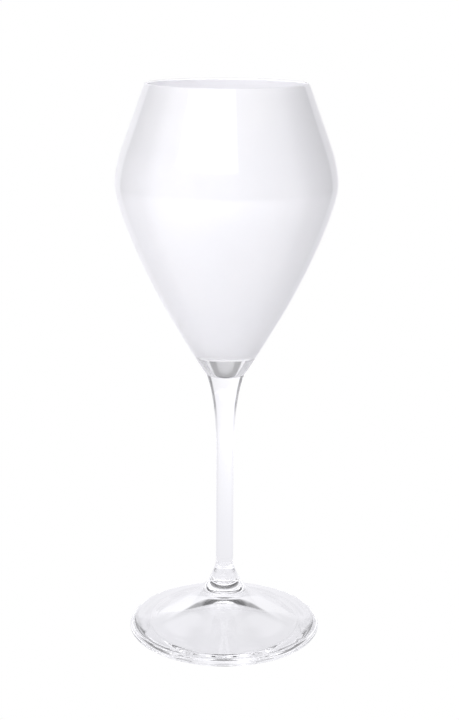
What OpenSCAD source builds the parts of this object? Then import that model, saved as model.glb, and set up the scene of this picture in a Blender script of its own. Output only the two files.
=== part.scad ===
// Stemmed wine glass: a clear blown bowl cased over a white opal lining,
// on a drawn stem, a bell-shaped collar and a round foot that is domed underneath.
// Every piece is a solid of revolution about Z, in millimetres, standing on Z = 0.

/* [Overall] */
// Height from the table to the rim
total_h = 230; // [215:1:245]

/* [Bowl] */
// Outside diameter at the rim
rim_d = 64.3; // [60:0.1:70]
// Outside diameter at the belly, the widest level
belly_d = 88.4; // [84:0.1:94]
// Height of the belly above the table
belly_z = 190.8; // [188:0.1:194]
// Height at which the straight upper taper starts
taper_z = 207; // [204:0.5:210]
// Lean of the upper taper from the vertical, in degrees
taper_angle = 20.3; // [18:0.1:22]
// Height at which the lower cone ends and the side starts to round
cone_z = 136; // [130:0.5:142]
// Outside diameter at that height
cone_d = 43.7; // [42:0.1:46]
// Lean of the lower cone from the vertical, in degrees
cone_angle = 30.8; // [30:0.1:32.5]
// Lean of the bowl's side just above the stem joint, in degrees
shoulder_angle = 39.5; // [33:0.5:44]
// Thickness of the clear casing
casing_t = 0.9; // [0.7:0.05:1.3]
// Thickness of the white lining
lining_t = 0.4; // [0.3:0.05:0.6]
// Height of the lowest point of the casing's inside
cavity_z = 122; // [120:0.5:126]

/* [Stem] */
// Diameter of the straight part of the stem
stem_d = 7.25; // [6:0.05:8]
// Height of the joint between the stem and the bowl
bowl_joint_z = 112.9; // [110:0.1:115]
// Diameter at that joint
bowl_joint_d = 15.7; // [15:0.1:17]
// Height at which the stem starts to flare
flare_z = 55; // [45:1:62]
// How late the flare opens: a larger number keeps the stem straight for longer
flare_power = 4.9; // [3:0.1:6]

/* [Foot] */
// Diameter of the foot
foot_d = 80.2; // [74:0.1:88]
// Thickness of the foot at its edge
edge_h = 4.5; // [3:0.1:5]
// Height of the joint between the stem and the collar
collar_joint_z = 30.8; // [29:0.1:33]
// Height of the joint between the collar and the foot
disc_joint_z = 18; // [17:0.1:19]
// Diameter at that joint
disc_joint_d = 20.3; // [19:0.1:22]
// Slope of the collar just above that joint, in degrees
collar_slope = 48; // [44:1:52]
// Slope of the foot just below that joint, in degrees
foot_slope = 49; // [40:0.5:52]
// Slope of the foot's top at its edge, in degrees
edge_slope = 6; // [2:0.5:12]
// Inner radius of the flat ring that stands on the table
ring_inner_r = 30.6; // [28:0.1:32]
// Outer radius of that ring
ring_outer_r = 33.5; // [33:0.1:36]
// Depth of the domed hollow under the foot, at its centre
hollow_h = 12.4; // [9:0.1:14]
// Slope of that hollow at the ring, in degrees
hollow_slope = 20.5; // [16:0.5:23]

/* [Hidden] */

$fn = 120;

// Lengths of the curve handles, which say how full each curve is
shoulder_handle = 3.4;
cone_low_handle = 5.2;
cone_high_handle = 20;
belly_low_handle = 9.2;
belly_high_handle = 6.4;
taper_handle = 2.4;
cavity_floor_handle = 9.5;
cavity_wall_handle = 17.5;
collar_high_handle = 3.4;
collar_low_handle = 6.3;
foot_inner_handle = 6;
foot_outer_handle = 10.8;
hollow_ring_handle = 18.6;
hollow_top_handle = 6.8;

// Slope at which the stem runs into the collar, from the vertical
collar_lean = 7;
// How far the rounding of the foot's edge reaches in, and how high its widest level is
edge_inset = 1.4;
edge_mid_share = 0.6;

// Steps along each curve
base_steps = 6;
lower_steps = 12;
upper_steps = 7;
cavity_steps = 8;
flare_steps = 14;
collar_steps = 8;
disc_steps = 14;
edge_steps = 5;

rim_r = rim_d / 2;
belly_r = belly_d / 2;
bowl_joint_r = bowl_joint_d / 2;
stem_r = stem_d / 2;
foot_r = foot_d / 2;
edge_mid_z = edge_mid_share * edge_h;
cone_top = [cone_d / 2, cone_z];
taper_foot = [rim_r + (total_h - taper_z) * tan(taper_angle), taper_z];
disc_joint = [disc_joint_d / 2, disc_joint_z];
edge_top = [foot_r - edge_inset, edge_h];

// The direction that leans out from the vertical by an angle, going up
function leaning(angle) = [sin(angle), cos(angle)];

// The direction that falls below the horizontal by an angle, going out
function falling(angle) = [cos(angle), -sin(angle)];

// A point of the cubic curve with the four control points p
function curve_point(p, t) =
    pow(1 - t, 3) * p[0] + 3 * pow(1 - t, 2) * t * p[1] + 3 * (1 - t) * t * t * p[2] + pow(t, 3) * p[3];

// The points of that curve
function curve(p, steps) = [for (i = [0:steps]) curve_point(p, i / steps)];

// The points of an ellipse about c, with the half axes a, between the angles from and to
function ellipse_arc(c, a, from, to) =
    [for (i = [0:edge_steps]) let (w = from + (to - from) * i / edge_steps) c + [a[0] * cos(w), a[1] * sin(w)]];

// The outline moved inwards by t, square to itself
function inset(pts, t) =
    [for (i = [0:len(pts) - 1])
        let (d = pts[min(i + 1, len(pts) - 1)] - pts[max(i - 1, 0)])
        pts[i] + t * [-d[1], d[0]] / norm(d)];

// All the points but the first, for a curve that carries on from the one before
function rest(pts) = [for (i = [1:len(pts) - 1]) pts[i]];

function backwards(pts) = [for (i = [len(pts) - 1:-1:0]) pts[i]];

// The outside of the solid bottom of the bowl, from the stem joint to the top of the cone
base_curve = curve([
    [bowl_joint_r, bowl_joint_z],
    [bowl_joint_r, bowl_joint_z] + shoulder_handle * leaning(shoulder_angle),
    cone_top - cone_low_handle * leaning(cone_angle),
    cone_top
], base_steps);

// The outside of the bowl from there to the start of the taper
bowl_side = concat(
    curve([
        cone_top,
        cone_top + cone_high_handle * leaning(cone_angle),
        [belly_r, belly_z - belly_low_handle],
        [belly_r, belly_z]
    ], lower_steps),
    rest(curve([
        [belly_r, belly_z],
        [belly_r, belly_z + belly_high_handle],
        taper_foot - taper_handle * leaning(-taper_angle),
        taper_foot
    ], upper_steps))
);

// The inside of a wall of thickness t: a round cavity floor at floor_z, the side, and the rim
function wall_inside(t, floor_z) =
    let (
        side = inset(bowl_side, t),
        floor_curve = curve([
            [0, floor_z],
            [cavity_floor_handle, floor_z],
            side[0] - cavity_wall_handle * leaning(cone_angle),
            side[0]
        ], cavity_steps)
    )
    concat(floor_curve, rest(side), [[rim_r - t / cos(taper_angle), total_h]]);

casing_inside = wall_inside(casing_t, cavity_z);
lining_inside = wall_inside(casing_t + lining_t, cavity_z + lining_t);

module turned(outline) {
    rotate_extrude() polygon(outline);
}

module bowl() {
    color([0.88, 0.91, 0.95, 0.4])
    turned(concat(
        [[0, bowl_joint_z]],
        base_curve,
        rest(bowl_side),
        [[rim_r, total_h]],
        backwards(casing_inside)
    ));
}

module white_lining() {
    color([0.96, 0.96, 0.98])
    turned(concat(casing_inside, backwards(lining_inside)));
}

module stem() {
    flare = [for (i = [0:flare_steps])
        let (s = i / flare_steps)
        [stem_r + (bowl_joint_r - stem_r) * pow(s, flare_power), flare_z + (bowl_joint_z - flare_z) * s]];
    color([0.9, 0.92, 0.95, 0.4])
    turned(concat(
        [[0, collar_joint_z], [stem_r, collar_joint_z]],
        flare,
        [[0, bowl_joint_z]]
    ));
}

module foot_collar() {
    side = curve([
        [stem_r, collar_joint_z],
        [stem_r, collar_joint_z] - collar_high_handle * leaning(-collar_lean),
        disc_joint - collar_low_handle * falling(collar_slope),
        disc_joint
    ], collar_steps);
    color([0.86, 0.88, 0.93, 0.4])
    turned(concat([[0, collar_joint_z]], side, [[0, disc_joint_z]]));
}

module foot_disc() {
    top = curve([
        disc_joint,
        disc_joint + foot_inner_handle * falling(foot_slope),
        edge_top - foot_outer_handle * falling(edge_slope),
        edge_top
    ], disc_steps);
    upper_edge = ellipse_arc([edge_top[0], edge_mid_z], [edge_inset, edge_h - edge_mid_z], 90, 0);
    lower_edge = ellipse_arc([ring_outer_r, edge_mid_z], [foot_r - ring_outer_r, edge_mid_z], 0, -90);
    hollow = curve([
        [ring_inner_r, 0],
        [ring_inner_r, 0] - hollow_ring_handle * falling(hollow_slope),
        [hollow_top_handle, hollow_h],
        [0, hollow_h]
    ], disc_steps);
    color([0.86, 0.88, 0.93, 0.4])
    turned(concat([[0, disc_joint_z]], top, rest(upper_edge), rest(lower_edge), hollow));
}

bowl();
white_lining();
stem();
foot_collar();
foot_disc();
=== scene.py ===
import math

import bmesh
import bpy
from mathutils import Matrix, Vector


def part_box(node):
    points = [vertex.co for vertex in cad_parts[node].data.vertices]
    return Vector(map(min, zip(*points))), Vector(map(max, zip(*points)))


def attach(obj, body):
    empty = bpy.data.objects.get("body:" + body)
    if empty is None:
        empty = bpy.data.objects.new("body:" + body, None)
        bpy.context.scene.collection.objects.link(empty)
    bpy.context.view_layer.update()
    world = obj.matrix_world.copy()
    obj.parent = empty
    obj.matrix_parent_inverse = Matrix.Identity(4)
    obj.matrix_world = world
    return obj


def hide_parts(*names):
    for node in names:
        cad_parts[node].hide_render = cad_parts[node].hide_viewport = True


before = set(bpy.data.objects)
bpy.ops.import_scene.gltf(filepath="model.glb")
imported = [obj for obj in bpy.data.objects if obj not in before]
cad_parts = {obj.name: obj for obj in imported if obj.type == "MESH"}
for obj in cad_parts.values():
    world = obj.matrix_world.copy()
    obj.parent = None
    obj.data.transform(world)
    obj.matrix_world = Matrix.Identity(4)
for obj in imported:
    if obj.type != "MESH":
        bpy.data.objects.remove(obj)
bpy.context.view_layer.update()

MM = 0.001

# ---------------------------------------------------------------- sizes, as in the CAD

BOWL_LOW, BOWL_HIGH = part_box("bowl")
STEM_LOW, STEM_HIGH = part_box("stem")
DISC_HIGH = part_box("foot_disc")[1]
COLLAR_LOW, COLLAR_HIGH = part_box("foot_collar")

TOTAL_H = BOWL_HIGH.z
BELLY_R = BOWL_HIGH.x
BOWL_JOINT_Z = BOWL_LOW.z
BOWL_JOINT_R = STEM_HIGH.x
COLLAR_JOINT_Z = STEM_LOW.z
DISC_JOINT = (COLLAR_HIGH.x, COLLAR_LOW.z)
FOOT_R = DISC_HIGH.x

# angles are in degrees: a lean or a taper from the vertical, a slope from the horizontal
RIM_R = 32.15 * MM
BELLY_Z = 190.8 * MM
TAPER_Z = 207 * MM
TAPER_ANGLE = 20.3
CONE_TOP = (21.85 * MM, 136 * MM)
CONE_ANGLE = 30.8
SHOULDER_ANGLE = 39.5
CASING_T = 0.9 * MM
LINING_T = 0.4 * MM
CAVITY_Z = 122 * MM
LIP_H = 0.5 * MM

STEM_R = 3.625 * MM
FLARE_Z = 55 * MM
FLARE_POWER = 4.9

COLLAR_LEAN = 7
COLLAR_SLOPE = 48
FOOT_SLOPE = 49
EDGE_SLOPE = 6
EDGE_H = 4.5 * MM
EDGE_INSET = 1.4 * MM
EDGE_MID_Z = 0.6 * EDGE_H
RING_INNER_R = 30.6 * MM
RING_OUTER_R = 33.5 * MM
HOLLOW_H = 12.4 * MM
HOLLOW_SLOPE = 20.5

# lengths of the curve handles, which say how full each curve is
SHOULDER_HANDLE = 3.4 * MM
CONE_LOW_HANDLE = 5.2 * MM
CONE_HIGH_HANDLE = 20 * MM
BELLY_LOW_HANDLE = 9.2 * MM
BELLY_HIGH_HANDLE = 6.4 * MM
TAPER_HANDLE = 2.4 * MM
CAVITY_FLOOR_HANDLE = 9.5 * MM
CAVITY_WALL_HANDLE = 17.5 * MM
COLLAR_HIGH_HANDLE = 3.4 * MM
COLLAR_LOW_HANDLE = 6.3 * MM
FOOT_INNER_HANDLE = 6 * MM
FOOT_OUTER_HANDLE = 10.8 * MM
HOLLOW_RING_HANDLE = 18.6 * MM
HOLLOW_TOP_HANDLE = 6.8 * MM

# ---------------------------------------------------------------- fine detail, beyond the CAD

# each pair of pieces was melted together, which left a fine bead or groove (below 0) round the joint
RIDGE_WIDTH = 0.5 * MM
BOWL_JOINT_RIDGE = -0.06 * MM
COLLAR_JOINT_RIDGE = 0.1 * MM
DISC_JOINT_RIDGE = 0.12 * MM
# two faint rings where the collar was worked, at these steps along its side
COLLAR_RING_RIDGE = 0.05 * MM
COLLAR_RING_STEPS = (40, 58)

# the inner edge of the foot's ring wanders by sine waves of (share, waves around, phase)
WANDER = 0.3 * MM
WANDER_WIDTH = 1.2 * MM
WANDER_WAVES = ((0.6, 7, 0.5), (0.4, 13, 2))

# the gap between the casing's inside and the lining, too small to see, so that a ray meets them in turn
CONTACT_GAP = 0.01 * MM
# the same at the lip, as a share of the whole wall
LIP_GAP = 0.01

# flat faces that meet at a larger angle than this keep a sharp edge, in degrees
SHARP_ANGLE = 24
# points nearer than this are the same point
SAME_POINT = 1e-7

# steps round each piece, and along each stretch of its outline
SIDES = 256
BASE_STEPS = 48
LOWER_STEPS = 56
UPPER_STEPS = 32
TAPER_STEPS = 20
CAVITY_STEPS = 48
CASING_LIP_STEPS = 12
LINING_LIP_STEPS = 6
STEM_STEPS = 72
FLARE_STEPS = 120
COLLAR_STEPS = 96
DISC_STEPS = 96
UPPER_EDGE_STEPS = 16
LOWER_EDGE_STEPS = 24
RING_STEPS = 8
HOLLOW_STEPS = 72
WIDE_JOINT_STEPS = 4
NARROW_JOINT_STEPS = 2

# ---------------------------------------------------------------- outlines


def curve(p, steps):
    """The points of a cubic curve with the four control points p."""
    points = []
    for i in range(steps + 1):
        t = i / steps
        weights = ((1 - t) ** 3, 3 * (1 - t) ** 2 * t, 3 * (1 - t) * t * t, t**3)
        points.append(tuple(sum(w * q[k] for w, q in zip(weights, p)) for k in (0, 1)))
    return points


def line(a, b, steps):
    """The points of a straight line from a to b."""
    return [tuple(a[k] + (b[k] - a[k]) * i / steps for k in (0, 1)) for i in range(steps + 1)]


def ellipse_arc(centre, half_axes, start, end, steps):
    """Part of an ellipse between two angles in degrees."""
    points = []
    for i in range(steps + 1):
        w = math.radians(start + (end - start) * i / steps)
        points.append((centre[0] + half_axes[0] * math.cos(w), centre[1] + half_axes[1] * math.sin(w)))
    return points


def inset(points, t):
    """The outline moved inwards by t, square to itself."""
    moved = []
    for i, (r, z) in enumerate(points):
        a, b = points[max(i - 1, 0)], points[min(i + 1, len(points) - 1)]
        dr, dz = b[0] - a[0], b[1] - a[1]
        length = math.hypot(dr, dz)
        moved.append((r - dz / length * t, z + dr / length * t))
    return moved


def leaning(angle):
    """The direction that leans out from the vertical by an angle in degrees, going up."""
    return (math.sin(math.radians(angle)), math.cos(math.radians(angle)))


def falling(angle):
    """The direction that falls below the horizontal by an angle in degrees, going out."""
    return (math.cos(math.radians(angle)), -math.sin(math.radians(angle)))


def step(point, direction, distance):
    """The point moved by a distance along a direction."""
    return (point[0] + direction[0] * distance, point[1] + direction[1] * distance)


taper_foot = (RIM_R + (TOTAL_H - TAPER_Z) * math.tan(math.radians(TAPER_ANGLE)), TAPER_Z)
lip_foot = (RIM_R + LIP_H * math.tan(math.radians(TAPER_ANGLE)), TOTAL_H - LIP_H)
bowl_joint = (BOWL_JOINT_R, BOWL_JOINT_Z)

bowl_base = curve(
    [
        bowl_joint,
        step(bowl_joint, leaning(SHOULDER_ANGLE), SHOULDER_HANDLE),
        step(CONE_TOP, leaning(CONE_ANGLE), -CONE_LOW_HANDLE),
        CONE_TOP,
    ],
    BASE_STEPS,
)
bowl_lower = curve(
    [
        CONE_TOP,
        step(CONE_TOP, leaning(CONE_ANGLE), CONE_HIGH_HANDLE),
        (BELLY_R, BELLY_Z - BELLY_LOW_HANDLE),
        (BELLY_R, BELLY_Z),
    ],
    LOWER_STEPS,
)
bowl_upper = curve(
    [
        (BELLY_R, BELLY_Z),
        (BELLY_R, BELLY_Z + BELLY_HIGH_HANDLE),
        step(taper_foot, leaning(-TAPER_ANGLE), -TAPER_HANDLE),
        taper_foot,
    ],
    UPPER_STEPS,
)
bowl_side = bowl_lower + bowl_upper[1:] + line(taper_foot, lip_foot, TAPER_STEPS)[1:]


def wall_inside(t, floor_z):
    """The inside of a wall of thickness t: a round cavity floor at floor_z, then the side up to the lip."""
    side = inset(bowl_side, t)
    floor_curve = curve(
        [
            (0, floor_z),
            (CAVITY_FLOOR_HANDLE, floor_z),
            step(side[0], leaning(CONE_ANGLE), -CAVITY_WALL_HANDLE),
            side[0],
        ],
        CAVITY_STEPS,
    )
    return floor_curve[:-1] + side


def lip(start, end, steps):
    """The rounded lip from start to end, as shares of the whole wall from the outside in."""
    whole = (CASING_T + LINING_T) / math.cos(math.radians(TAPER_ANGLE))
    points = []
    for i in range(steps + 1):
        s = start + (end - start) * i / steps
        rise = math.sqrt(max(0.0, 1 - (2 * s - 1) ** 2))
        points.append((lip_foot[0] - s * whole, lip_foot[1] + LIP_H * rise))
    return points


def ridged(points, centre, height):
    """The outline with a small ridge (or a groove, where height is negative) round the point centre."""
    return [
        (r + height * math.exp(-(math.hypot(r - centre[0], z - centre[1]) / RIDGE_WIDTH) ** 2), z)
        for r, z in points
    ]


# ---------------------------------------------------------------- materials

CLEAR_IOR = 1.52
CLEAR_TINTS = ((0.985, 0.987, 0.995), (0.998, 0.998, 1.0))
CLEAR_ROUGHNESS = (0, 0.012)
CLEAR_WAVE_DEPTH = 0.02 * MM
OPAL_IOR = 1.5
OPAL_TINTS = ((0.945, 0.945, 0.965), (0.975, 0.97, 0.975))
OPAL_ROUGHNESS = (0.08, 0.14)
OPAL_WAVE_DEPTH = 0.01 * MM
# noise values below and above which a ramp is flat
RAMP_ENDS = (0.35, 0.65)


def material(name, build):
    """A node material, filled in by build(tree, shader)."""
    mat = bpy.data.materials.new(name)
    mat.use_nodes = True
    tree = mat.node_tree
    build(tree, tree.nodes["Principled BSDF"])
    return mat


def object_noise(tree, scale, detail):
    """A noise value from 0 to 1 on the piece's own coordinates, with scale bumps to the metre."""
    coords = tree.nodes.new("ShaderNodeTexCoord")
    noise = tree.nodes.new("ShaderNodeTexNoise")
    noise.inputs["Scale"].default_value = scale
    noise.inputs["Detail"].default_value = detail
    tree.links.new(coords.outputs["Object"], noise.inputs["Vector"])
    return noise.outputs["Fac"]


def ramp(tree, value, low, high):
    """The colour low where the noise is faint and high where it is strong."""
    node = tree.nodes.new("ShaderNodeValToRGB")
    for element, position, colour in zip(node.color_ramp.elements, RAMP_ENDS, (low, high)):
        element.position = position
        element.color = (*colour, 1)
    tree.links.new(value, node.inputs["Fac"])
    return node.outputs["Color"]


def grey_ramp(tree, value, low, high):
    return ramp(tree, value, (low, low, low), (high, high, high))


def waves(tree, shader, value, depth):
    """Bumps the surface by the noise, depth metres deep."""
    bump = tree.nodes.new("ShaderNodeBump")
    bump.inputs["Distance"].default_value = depth
    tree.links.new(value, bump.inputs["Height"])
    tree.links.new(bump.outputs["Normal"], shader.inputs["Normal"])


def build_clear(tree, shader):
    """Clear glass with a faint cool tint, slow waves from the blowing and a trace of handling marks."""
    tint = ramp(tree, object_noise(tree, 30, 2), *CLEAR_TINTS)
    tree.links.new(tint, shader.inputs["Base Color"])
    marks = grey_ramp(tree, object_noise(tree, 180, 4), *CLEAR_ROUGHNESS)
    tree.links.new(marks, shader.inputs["Roughness"])
    waves(tree, shader, object_noise(tree, 45, 1), CLEAR_WAVE_DEPTH)
    shader.inputs["IOR"].default_value = CLEAR_IOR
    shader.inputs["Transmission Weight"].default_value = 1.0


def build_opal(tree, shader):
    """White opal glass with slow cool clouds, that lets light through its thin wall."""
    clouds = ramp(tree, object_noise(tree, 22, 3), *OPAL_TINTS)
    tree.links.new(clouds, shader.inputs["Base Color"])
    satin = grey_ramp(tree, object_noise(tree, 150, 4), *OPAL_ROUGHNESS)
    tree.links.new(satin, shader.inputs["Roughness"])
    waves(tree, shader, object_noise(tree, 60, 1), OPAL_WAVE_DEPTH)
    shader.inputs["IOR"].default_value = OPAL_IOR
    shader.inputs["Subsurface Weight"].default_value = 1.0
    shader.inputs["Subsurface Radius"].default_value = (1, 1, 1)
    shader.inputs["Subsurface Scale"].default_value = LINING_T


def build_weld(tree, shader):
    """Fused glass shows no surface where two pieces were melted together."""
    clear = tree.nodes.new("ShaderNodeBsdfTransparent")
    tree.links.new(clear.outputs[0], tree.nodes["Material Output"].inputs["Surface"])
    tree.nodes.remove(shader)


clear_glass = material("clear_glass", build_clear)
opal_glass = material("opal_glass", build_opal)
weld = material("fused_face", build_weld)

# ---------------------------------------------------------------- pieces


def turned(name, stretches, node, sway=None):
    """A closed piece turned about Z, that stands in for the CAD node.

    stretches are (outline points, material), end to end from the axis to the axis.
    sway, if given, moves an outline point a little at each angle."""
    mats = []
    bm = bmesh.new()
    rings = []
    faces_mat = []
    for points, mat in stretches:
        if mat not in mats:
            mats.append(mat)
        for point in points:
            if rings and math.dist(rings[-1][0], point) < SAME_POINT:
                continue
            if rings:
                faces_mat.append(mats.index(mat))
            rings.append((point, ring_verts(bm, point, sway)))
    for (_, a), (_, b), index in zip(rings, rings[1:], faces_mat):
        join_rings(bm, a, b, index)
    bmesh.ops.recalc_face_normals(bm, faces=bm.faces)
    mesh = bpy.data.meshes.new(name)
    bm.to_mesh(mesh)
    bm.free()
    for mat in mats:
        mesh.materials.append(mat)
    mesh.set_sharp_from_angle(angle=math.radians(SHARP_ANGLE))
    piece = bpy.data.objects.new(name, mesh)
    bpy.context.scene.collection.objects.link(piece)
    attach(piece, "root")
    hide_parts(node)


def ring_verts(bm, point, sway):
    """The outline point turned into a ring of vertices, or into one vertex on the axis."""
    if point[0] < SAME_POINT:
        return [bm.verts.new((0, 0, point[1]))]
    verts = []
    for k in range(SIDES):
        angle = 2 * math.pi * k / SIDES
        r, z = sway(point, angle) if sway else point
        verts.append(bm.verts.new((r * math.cos(angle), r * math.sin(angle), z)))
    return verts


def join_rings(bm, a, b, material_index):
    """Faces between two rings, either of which may be a single vertex on the axis."""
    for k in range(SIDES):
        m = (k + 1) % SIDES
        if len(a) == 1:
            corners = (a[0], b[m], b[k])
        elif len(b) == 1:
            corners = (a[k], a[m], b[0])
        else:
            corners = (a[k], a[m], b[m], b[k])
        face = bm.faces.new(corners)
        face.smooth = True
        face.material_index = material_index


collar_top = (STEM_R, COLLAR_JOINT_Z)
casing_share = CASING_T / (CASING_T + LINING_T)


def build_bowl():
    """The clear casing. Its inside lies against the lining, so it shows no surface there."""
    base = ridged(bowl_base, bowl_joint, BOWL_JOINT_RIDGE)
    inside = wall_inside(CASING_T, CAVITY_Z)
    turned(
        "clear_bowl",
        [
            (line((0, BOWL_JOINT_Z), base[0], WIDE_JOINT_STEPS), weld),
            (base + bowl_side + lip(0, casing_share, CASING_LIP_STEPS), clear_glass),
            (inside[::-1], weld),
        ],
        "bowl",
    )


def build_lining():
    outside = wall_inside(CASING_T + CONTACT_GAP, CAVITY_Z + CONTACT_GAP)
    inside = wall_inside(CASING_T + LINING_T, CAVITY_Z + LINING_T)
    turned(
        "opal_lining",
        [(outside + lip(casing_share + LIP_GAP, 1, LINING_LIP_STEPS) + inside[::-1], opal_glass)],
        "white_lining",
    )


def build_stem():
    """The stem, straight and then flared up to the bowl."""
    flare = []
    for i in range(FLARE_STEPS + 1):
        r = STEM_R + (BOWL_JOINT_R - STEM_R) * (i / FLARE_STEPS) ** FLARE_POWER
        flare.append((r, FLARE_Z + (BOWL_JOINT_Z - FLARE_Z) * i / FLARE_STEPS))
    side = line(collar_top, (STEM_R, FLARE_Z), STEM_STEPS) + flare
    side = ridged(side, collar_top, COLLAR_JOINT_RIDGE)
    side = ridged(side, bowl_joint, BOWL_JOINT_RIDGE)
    turned(
        "clear_stem",
        [
            (line((0, COLLAR_JOINT_Z), side[0], NARROW_JOINT_STEPS), weld),
            (side, clear_glass),
            (line(side[-1], (0, BOWL_JOINT_Z), WIDE_JOINT_STEPS), weld),
        ],
        "stem",
    )


def build_collar():
    """The bell-shaped collar, with a bead at each joint and two faint rings between them."""
    side = curve(
        [
            collar_top,
            step(collar_top, leaning(-COLLAR_LEAN), -COLLAR_HIGH_HANDLE),
            step(DISC_JOINT, falling(COLLAR_SLOPE), -COLLAR_LOW_HANDLE),
            DISC_JOINT,
        ],
        COLLAR_STEPS,
    )
    side = ridged(side, side[0], COLLAR_JOINT_RIDGE)
    for place in COLLAR_RING_STEPS:
        side = ridged(side, side[place], COLLAR_RING_RIDGE)
    side = ridged(side, side[-1], DISC_JOINT_RIDGE)
    turned(
        "clear_collar",
        [
            (line((0, COLLAR_JOINT_Z), side[0], NARROW_JOINT_STEPS), weld),
            (side, clear_glass),
            (line(side[-1], (0, DISC_JOINT[1]), WIDE_JOINT_STEPS), weld),
        ],
        "foot_collar",
    )


def uneven_ring(point, angle):
    """The inner edge of the ring wanders a little, as the foot was pressed soft."""
    r, z = point
    if z > HOLLOW_H / 2:
        return point
    wander = sum(share * math.sin(count * angle + phase) for share, count, phase in WANDER_WAVES)
    return r + WANDER * wander * math.exp(-((r - RING_INNER_R) / WANDER_WIDTH) ** 2), z


def build_foot():
    """The foot, from its joint over the top and the rounded edge to the ring and the domed hollow."""
    edge_top = (FOOT_R - EDGE_INSET, EDGE_H)
    top = curve(
        [
            DISC_JOINT,
            step(DISC_JOINT, falling(FOOT_SLOPE), FOOT_INNER_HANDLE),
            step(edge_top, falling(EDGE_SLOPE), -FOOT_OUTER_HANDLE),
            edge_top,
        ],
        DISC_STEPS,
    )
    top = ridged(top, DISC_JOINT, DISC_JOINT_RIDGE)
    upper_axes = (EDGE_INSET, EDGE_H - EDGE_MID_Z)
    upper_edge = ellipse_arc((edge_top[0], EDGE_MID_Z), upper_axes, 90, 0, UPPER_EDGE_STEPS)
    lower_axes = (FOOT_R - RING_OUTER_R, EDGE_MID_Z)
    lower_edge = ellipse_arc((RING_OUTER_R, EDGE_MID_Z), lower_axes, 0, -90, LOWER_EDGE_STEPS)
    ring_inner = (RING_INNER_R, 0)
    ring = line((RING_OUTER_R, 0), ring_inner, RING_STEPS)
    hollow = curve(
        [
            ring_inner,
            step(ring_inner, falling(HOLLOW_SLOPE), -HOLLOW_RING_HANDLE),
            (HOLLOW_TOP_HANDLE, HOLLOW_H),
            (0, HOLLOW_H),
        ],
        HOLLOW_STEPS,
    )
    turned(
        "clear_foot",
        [
            (line((0, DISC_JOINT[1]), top[0], WIDE_JOINT_STEPS), weld),
            (top + upper_edge + lower_edge + ring + hollow, clear_glass),
        ],
        "foot_disc",
        uneven_ring,
    )


build_bowl()
build_lining()
build_stem()
build_collar()
build_foot()

# ---------------------------------------------------------------- studio

CAMERA_BACK = 570.4 * MM
CAMERA_Z = 265.7 * MM
CAMERA_PITCH = math.radians(14.463)
CAMERA_ROLL = math.radians(0.3)
LENS = 72.1
SENSOR_WIDTH = 36
CAMERA_SHIFT_X = 0.0055
CLIP_START = 0.01
CLIP_END = 50

camera_data = bpy.data.cameras.new("camera")
camera = bpy.data.objects.new("camera", camera_data)
bpy.context.scene.collection.objects.link(camera)
camera_data.lens = LENS
camera_data.sensor_width = SENSOR_WIDTH
camera_data.shift_x = CAMERA_SHIFT_X
camera_data.clip_start = CLIP_START
camera_data.clip_end = CLIP_END
camera.location = (0, -CAMERA_BACK, CAMERA_Z)
tilt = Matrix.Rotation(math.pi / 2 - CAMERA_PITCH, 3, "X") @ Matrix.Rotation(CAMERA_ROLL, 3, "Z")
camera.rotation_euler = tilt.to_euler()
bpy.context.scene.camera = camera


def plane(name, size, mat):
    """A square on the stage, centred under the glass."""
    bm = bmesh.new()
    bmesh.ops.create_grid(bm, x_segments=1, y_segments=1, size=size / 2)
    mesh = bpy.data.meshes.new(name)
    bm.to_mesh(mesh)
    bm.free()
    mesh.materials.append(mat)
    obj = bpy.data.objects.new(name, mesh)
    bpy.context.scene.collection.objects.link(obj)
    return obj


def link_value(tree, value, socket):
    """Puts a number or a node's output on a socket."""
    if isinstance(value, (int, float)):
        socket.default_value = value
    else:
        tree.links.new(value, socket)


def calculate(tree, kind, *values):
    """The output of a Math node."""
    node = tree.nodes.new("ShaderNodeMath")
    node.operation = kind
    for value, socket in zip(values, node.inputs):
        link_value(tree, value, socket)
    return node.outputs[0]


def fade(tree, value, start, end):
    """0 below start and 1 above end, with a smooth step between them."""
    node = tree.nodes.new("ShaderNodeMapRange")
    node.interpolation_type = "SMOOTHSTEP"
    node.inputs["From Min"].default_value = start
    node.inputs["From Max"].default_value = end
    tree.links.new(value, node.inputs["Value"])
    return node.outputs["Result"]


def blend(tree, share, a, b):
    """a where share is 0, b where it is 1."""
    node = tree.nodes.new("ShaderNodeMix")
    link_value(tree, share, node.inputs["Factor"])
    link_value(tree, a, node.inputs["A"])
    link_value(tree, b, node.inputs["B"])
    return node.outputs["Result"]


def levels(tree, value, stops):
    """A brightness that runs through the (value, brightness) stops."""
    level = stops[0][1]
    for (start, _), (end, brightness) in zip(stops, stops[1:]):
        level = blend(tree, fade(tree, value, start, end), level, brightness)
    return level


def tinted(tree, level, tint):
    """The tint scaled by a brightness."""
    node = tree.nodes.new("ShaderNodeVectorMath")
    node.operation = "SCALE"
    node.inputs[0].default_value = tint
    tree.links.new(level, node.inputs["Scale"])
    return node.outputs[0]


# Places of the colour sockets of a Mix node, whose names are shared with its number sockets
MIX_A = 6
MIX_B = 7
MIX_RESULT = 2


def white_to_camera(tree, colour, socket):
    """Pure white where the camera looks straight at it, and the given colour where it lights the glass."""
    path = tree.nodes.new("ShaderNodeLightPath")
    mix = tree.nodes.new("ShaderNodeMix")
    mix.data_type = "RGBA"
    tree.links.new(path.outputs["Is Camera Ray"], mix.inputs["Factor"])
    tree.links.new(colour, mix.inputs[MIX_A])
    mix.inputs[MIX_B].default_value = (1, 1, 1, 1)
    tree.links.new(mix.outputs[MIX_RESULT], socket)


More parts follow.
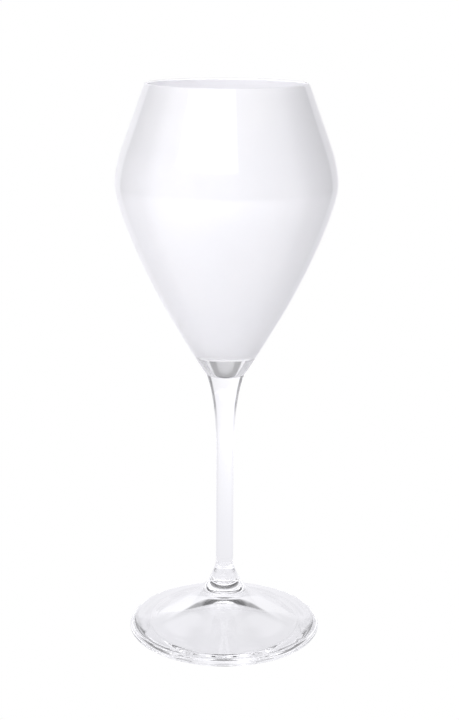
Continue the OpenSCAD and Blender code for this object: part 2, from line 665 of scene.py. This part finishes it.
# Brightness of the studio at (elevation in degrees, brightness) stops, by direction from the glass
BEHIND = [(20, 1.0), (27, 0.66), (33, 0.36), (44, 0.1), (54, 0.1), (64, 0.25), (80, 1.6)]
BEHIND_ENDS = [(20, 1.0), (26, 0.4), (37, 0.33), (44, 0.1), (54, 0.1), (64, 0.25), (80, 1.6)]
BESIDE = [(20, 1.0), (48, 1.0), (60, 0.35), (80, 1.6)]
FLANK = [(4, 0.33), (14, 0.2), (24, 0.25), (44, 0.9), (62, 1.0), (80, 1.6)]
SIDE = [(20, 1.25), (34, 1.1), (60, 1.6), (80, 1.6)]
FRONT = [(30, 1.25), (50, 1.35), (62, 2.3), (80, 2.0)]
SECTORS = (BEHIND, BEHIND_ENDS, BESIDE, FLANK, SIDE, FRONT)
# Where each sector hands over to the next, in degrees either way from straight behind the glass
SECTOR_EDGES = ((11, 16), (25, 30), (38, 46), (78, 108), (108, 135))
# The softbox and its soft sides, as (outside it, inside it) in degrees: first by angle from straight in
# front, positive to the left, then by elevation
SOFTBOX_LEVEL = 2.6
SOFTBOX_RIGHT = (-14, -12)
SOFTBOX_LEFT = (59, 56)
SOFTBOX_BOTTOM = (20, 23)
SOFTBOX_TOP = (56, 50)
# The table's glow: dimmed under the glass as painted shade, and its level further out in each of those
# sectors
TABLE_SIZE = 6.0
TABLE_SHADE_UNDER_GLASS = 0.85
TABLE_AROUND = (1.02, 1.02, 1.0, 0.85, 1.75, 2.2)
# Distances in metres over which the painted shade under the glass hands over to the glow further out, and
# then the table to the room
TABLE_SHADE_FADE = (0.0, 0.4)
TABLE_END_FADE = (0.3, 1.2)
# the table lies just clear of the foot's ring, so that the two faces are not in the same place
TABLE_GAP = 0.1 * MM
TABLE_TINT = (0.99, 0.985, 1.025)
STUDIO_TINT = (0.99, 0.985, 1.015)
# How much dimmer the studio is on the right, and brighter on the left
RIGHT_DIMMER = 0.15


def azimuth_of(tree, direction):
    """The direction's angle in degrees, 0 straight behind the glass and positive to the right."""
    split = tree.nodes.new("ShaderNodeSeparateXYZ")
    tree.links.new(direction, split.inputs[0])
    return calculate(tree, "DEGREES", calculate(tree, "ARCTAN2", split.outputs["X"], split.outputs["Y"]))


def around(tree, azimuth, sectors):
    """The brightness of the sector that each direction is in, a little dimmer on the right."""
    turn = calculate(tree, "ABSOLUTE", azimuth)
    level = sectors[0]
    for (start, end), sector in zip(SECTOR_EDGES, sectors[1:]):
        level = blend(tree, fade(tree, turn, start, end), level, sector)
    to_right = calculate(tree, "SINE", calculate(tree, "RADIANS", azimuth))
    return calculate(tree, "MULTIPLY", level, calculate(tree, "MULTIPLY_ADD", to_right, -RIGHT_DIMMER, 1.0))


def build_table(tree, shader):
    """A table top that glows white, with painted shade: its glow is a little darker close to the glass."""
    shader.inputs["Base Color"].default_value = (0, 0, 0, 1)
    shader.inputs["Specular IOR Level"].default_value = 0
    place = tree.nodes.new("ShaderNodeTexCoord").outputs["Object"]
    distance = tree.nodes.new("ShaderNodeVectorMath")
    distance.operation = "LENGTH"
    tree.links.new(place, distance.inputs[0])
    azimuth = azimuth_of(tree, place)
    away = distance.outputs["Value"]
    further = around(tree, azimuth, TABLE_AROUND)
    # painted shade: the glow is dimmed under and around the glass
    level = blend(tree, fade(tree, away, *TABLE_SHADE_FADE), TABLE_SHADE_UNDER_GLASS, further)
    # the table ends, and the lowest level of the room beyond it takes over
    room = around(tree, azimuth, [stops[0][1] for stops in SECTORS])
    level = blend(tree, fade(tree, away, *TABLE_END_FADE), level, room)
    white_to_camera(tree, tinted(tree, level, TABLE_TINT), shader.inputs["Emission Color"])
    shader.inputs["Emission Strength"].default_value = 1.0


table = plane("table", TABLE_SIZE, material("table", build_table))
table.location.z = -TABLE_GAP

world = bpy.data.worlds.new("studio")
bpy.context.scene.world = world
world.use_nodes = True


def build_world(tree):
    """White to the camera, and to the glass a sweep behind, darker flanks and a softbox at the front left."""
    direction = tree.nodes.new("ShaderNodeTexCoord").outputs["Generated"]
    split = tree.nodes.new("ShaderNodeSeparateXYZ")
    tree.links.new(direction, split.inputs[0])
    elevation = calculate(tree, "DEGREES", calculate(tree, "ARCSINE", split.outputs["Z"]))
    azimuth = azimuth_of(tree, direction)
    level = around(tree, azimuth, [levels(tree, elevation, stops) for stops in SECTORS])
    from_front = calculate(tree, "WRAP", calculate(tree, "ADD", azimuth, 180), 180, -180)
    inside = fade(tree, from_front, *SOFTBOX_RIGHT)
    inside = calculate(tree, "MULTIPLY", inside, fade(tree, from_front, *SOFTBOX_LEFT))
    inside = calculate(tree, "MULTIPLY", inside, fade(tree, elevation, *SOFTBOX_BOTTOM))
    inside = calculate(tree, "MULTIPLY", inside, fade(tree, elevation, *SOFTBOX_TOP))
    level = blend(tree, inside, level, SOFTBOX_LEVEL)
    white_to_camera(tree, tinted(tree, level, STUDIO_TINT), tree.nodes["Background"].inputs["Color"])


build_world(world.node_tree)

bpy.context.scene.view_settings.view_transform = "Standard"

# light runs a long way inside the foot and the stem before it comes out
GLASS_BOUNCES = 32
OPAL_BOUNCES = 16
cycles = bpy.context.scene.cycles
cycles.max_bounces = GLASS_BOUNCES
cycles.glossy_bounces = GLASS_BOUNCES
cycles.transmission_bounces = GLASS_BOUNCES
cycles.transparent_max_bounces = GLASS_BOUNCES
cycles.diffuse_bounces = OPAL_BOUNCES
